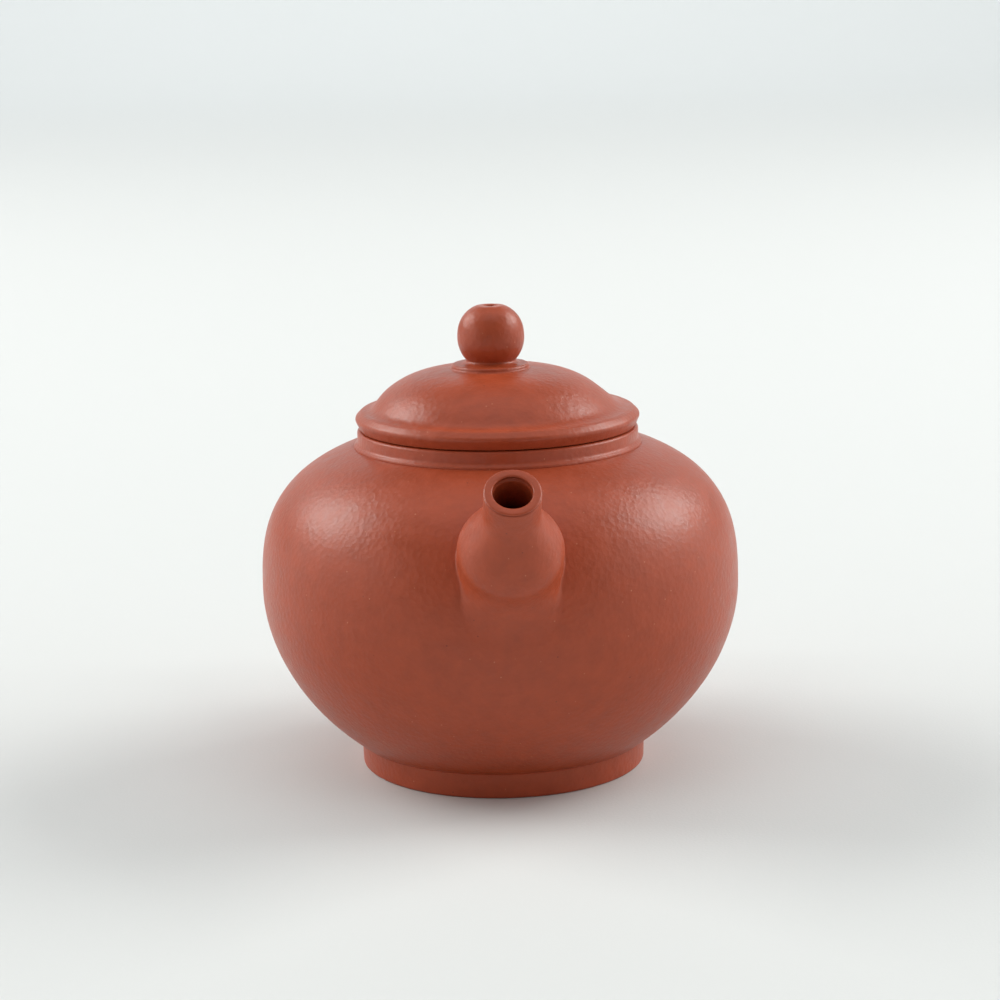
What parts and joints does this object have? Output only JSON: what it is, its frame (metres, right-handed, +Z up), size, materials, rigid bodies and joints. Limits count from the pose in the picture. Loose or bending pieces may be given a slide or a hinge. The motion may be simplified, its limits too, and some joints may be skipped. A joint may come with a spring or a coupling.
{
  "type": "clay teapot",
  "caption": "Small unglazed clay teapot with a round body, foot ring, short bent spout, ear handle and a lift-off lid with a ball knob.",
  "frame": {"origin": "centre of the foot ring's standing face, on the pot's axis", "axes": "+Z up along the pot's axis, the spout points along -Y and the handle along +Y, +X to the right seen from the spout's side"},
  "size_m": [0.08, 0.1172, 0.0779],
  "materials": {
    "clay": "unglazed, burnished, fine grain",
    "lid_clay": "unglazed, burnished, fine grain"
  },
  "bodies": {
    "pot": {"base_disc": "clay", "body_wall": "clay", "shoulder_disc": "clay", "foot_ring": "clay", "neck_ring": "clay", "spout": "clay", "spout_root_coil": "clay", "handle": "clay", "handle_top_coil": "clay", "handle_low_coil": "clay"},
    "lid": {"lid_flange": "lid_clay", "lid_ring": "lid_clay", "lid_dome": "lid_clay", "knob_pad": "lid_clay", "knob": "lid_clay"}
  },
  "joints": [
    {"name": "lid_lift", "type": "slide", "parent": "pot", "child": "lid", "axis": [0, 0, 1], "range_m": [0, 0.04]}
  ]
}
